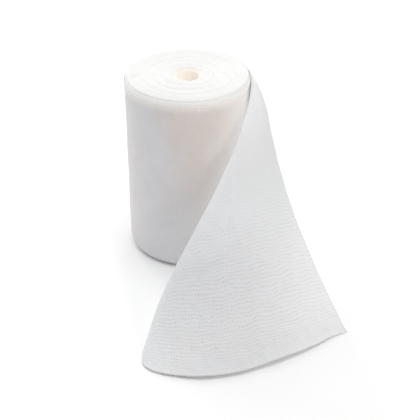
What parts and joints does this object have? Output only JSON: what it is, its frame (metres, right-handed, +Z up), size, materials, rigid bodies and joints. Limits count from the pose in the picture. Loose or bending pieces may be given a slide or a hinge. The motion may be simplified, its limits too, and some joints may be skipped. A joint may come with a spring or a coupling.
{
  "type": "gauze bandage roll",
  "caption": "White open-weave gauze bandage, wound into a roll that stands on its end, with its loose end drawn out over the table, rolled over along a diagonal and fanned out to the cut end.",
  "frame": {"origin": "middle of the whole object's footprint, on the surface that it stands on", "axes": "+Z up along the roll's axis; the loose end runs from the roll's +X side towards -Y; the roll stands at the +Y end"},
  "size_m": [0.1129, 0.1543, 0.1002],
  "materials": {
    "wound_gauze": "matte open-weave gauze, wound in many turns",
    "loose_gauze": "matte open-weave gauze, one ply, slightly sheer"
  },
  "bodies": {
    "root": {"roll": "wound_gauze", "tail": "loose_gauze"}
  },
  "joints": []
}
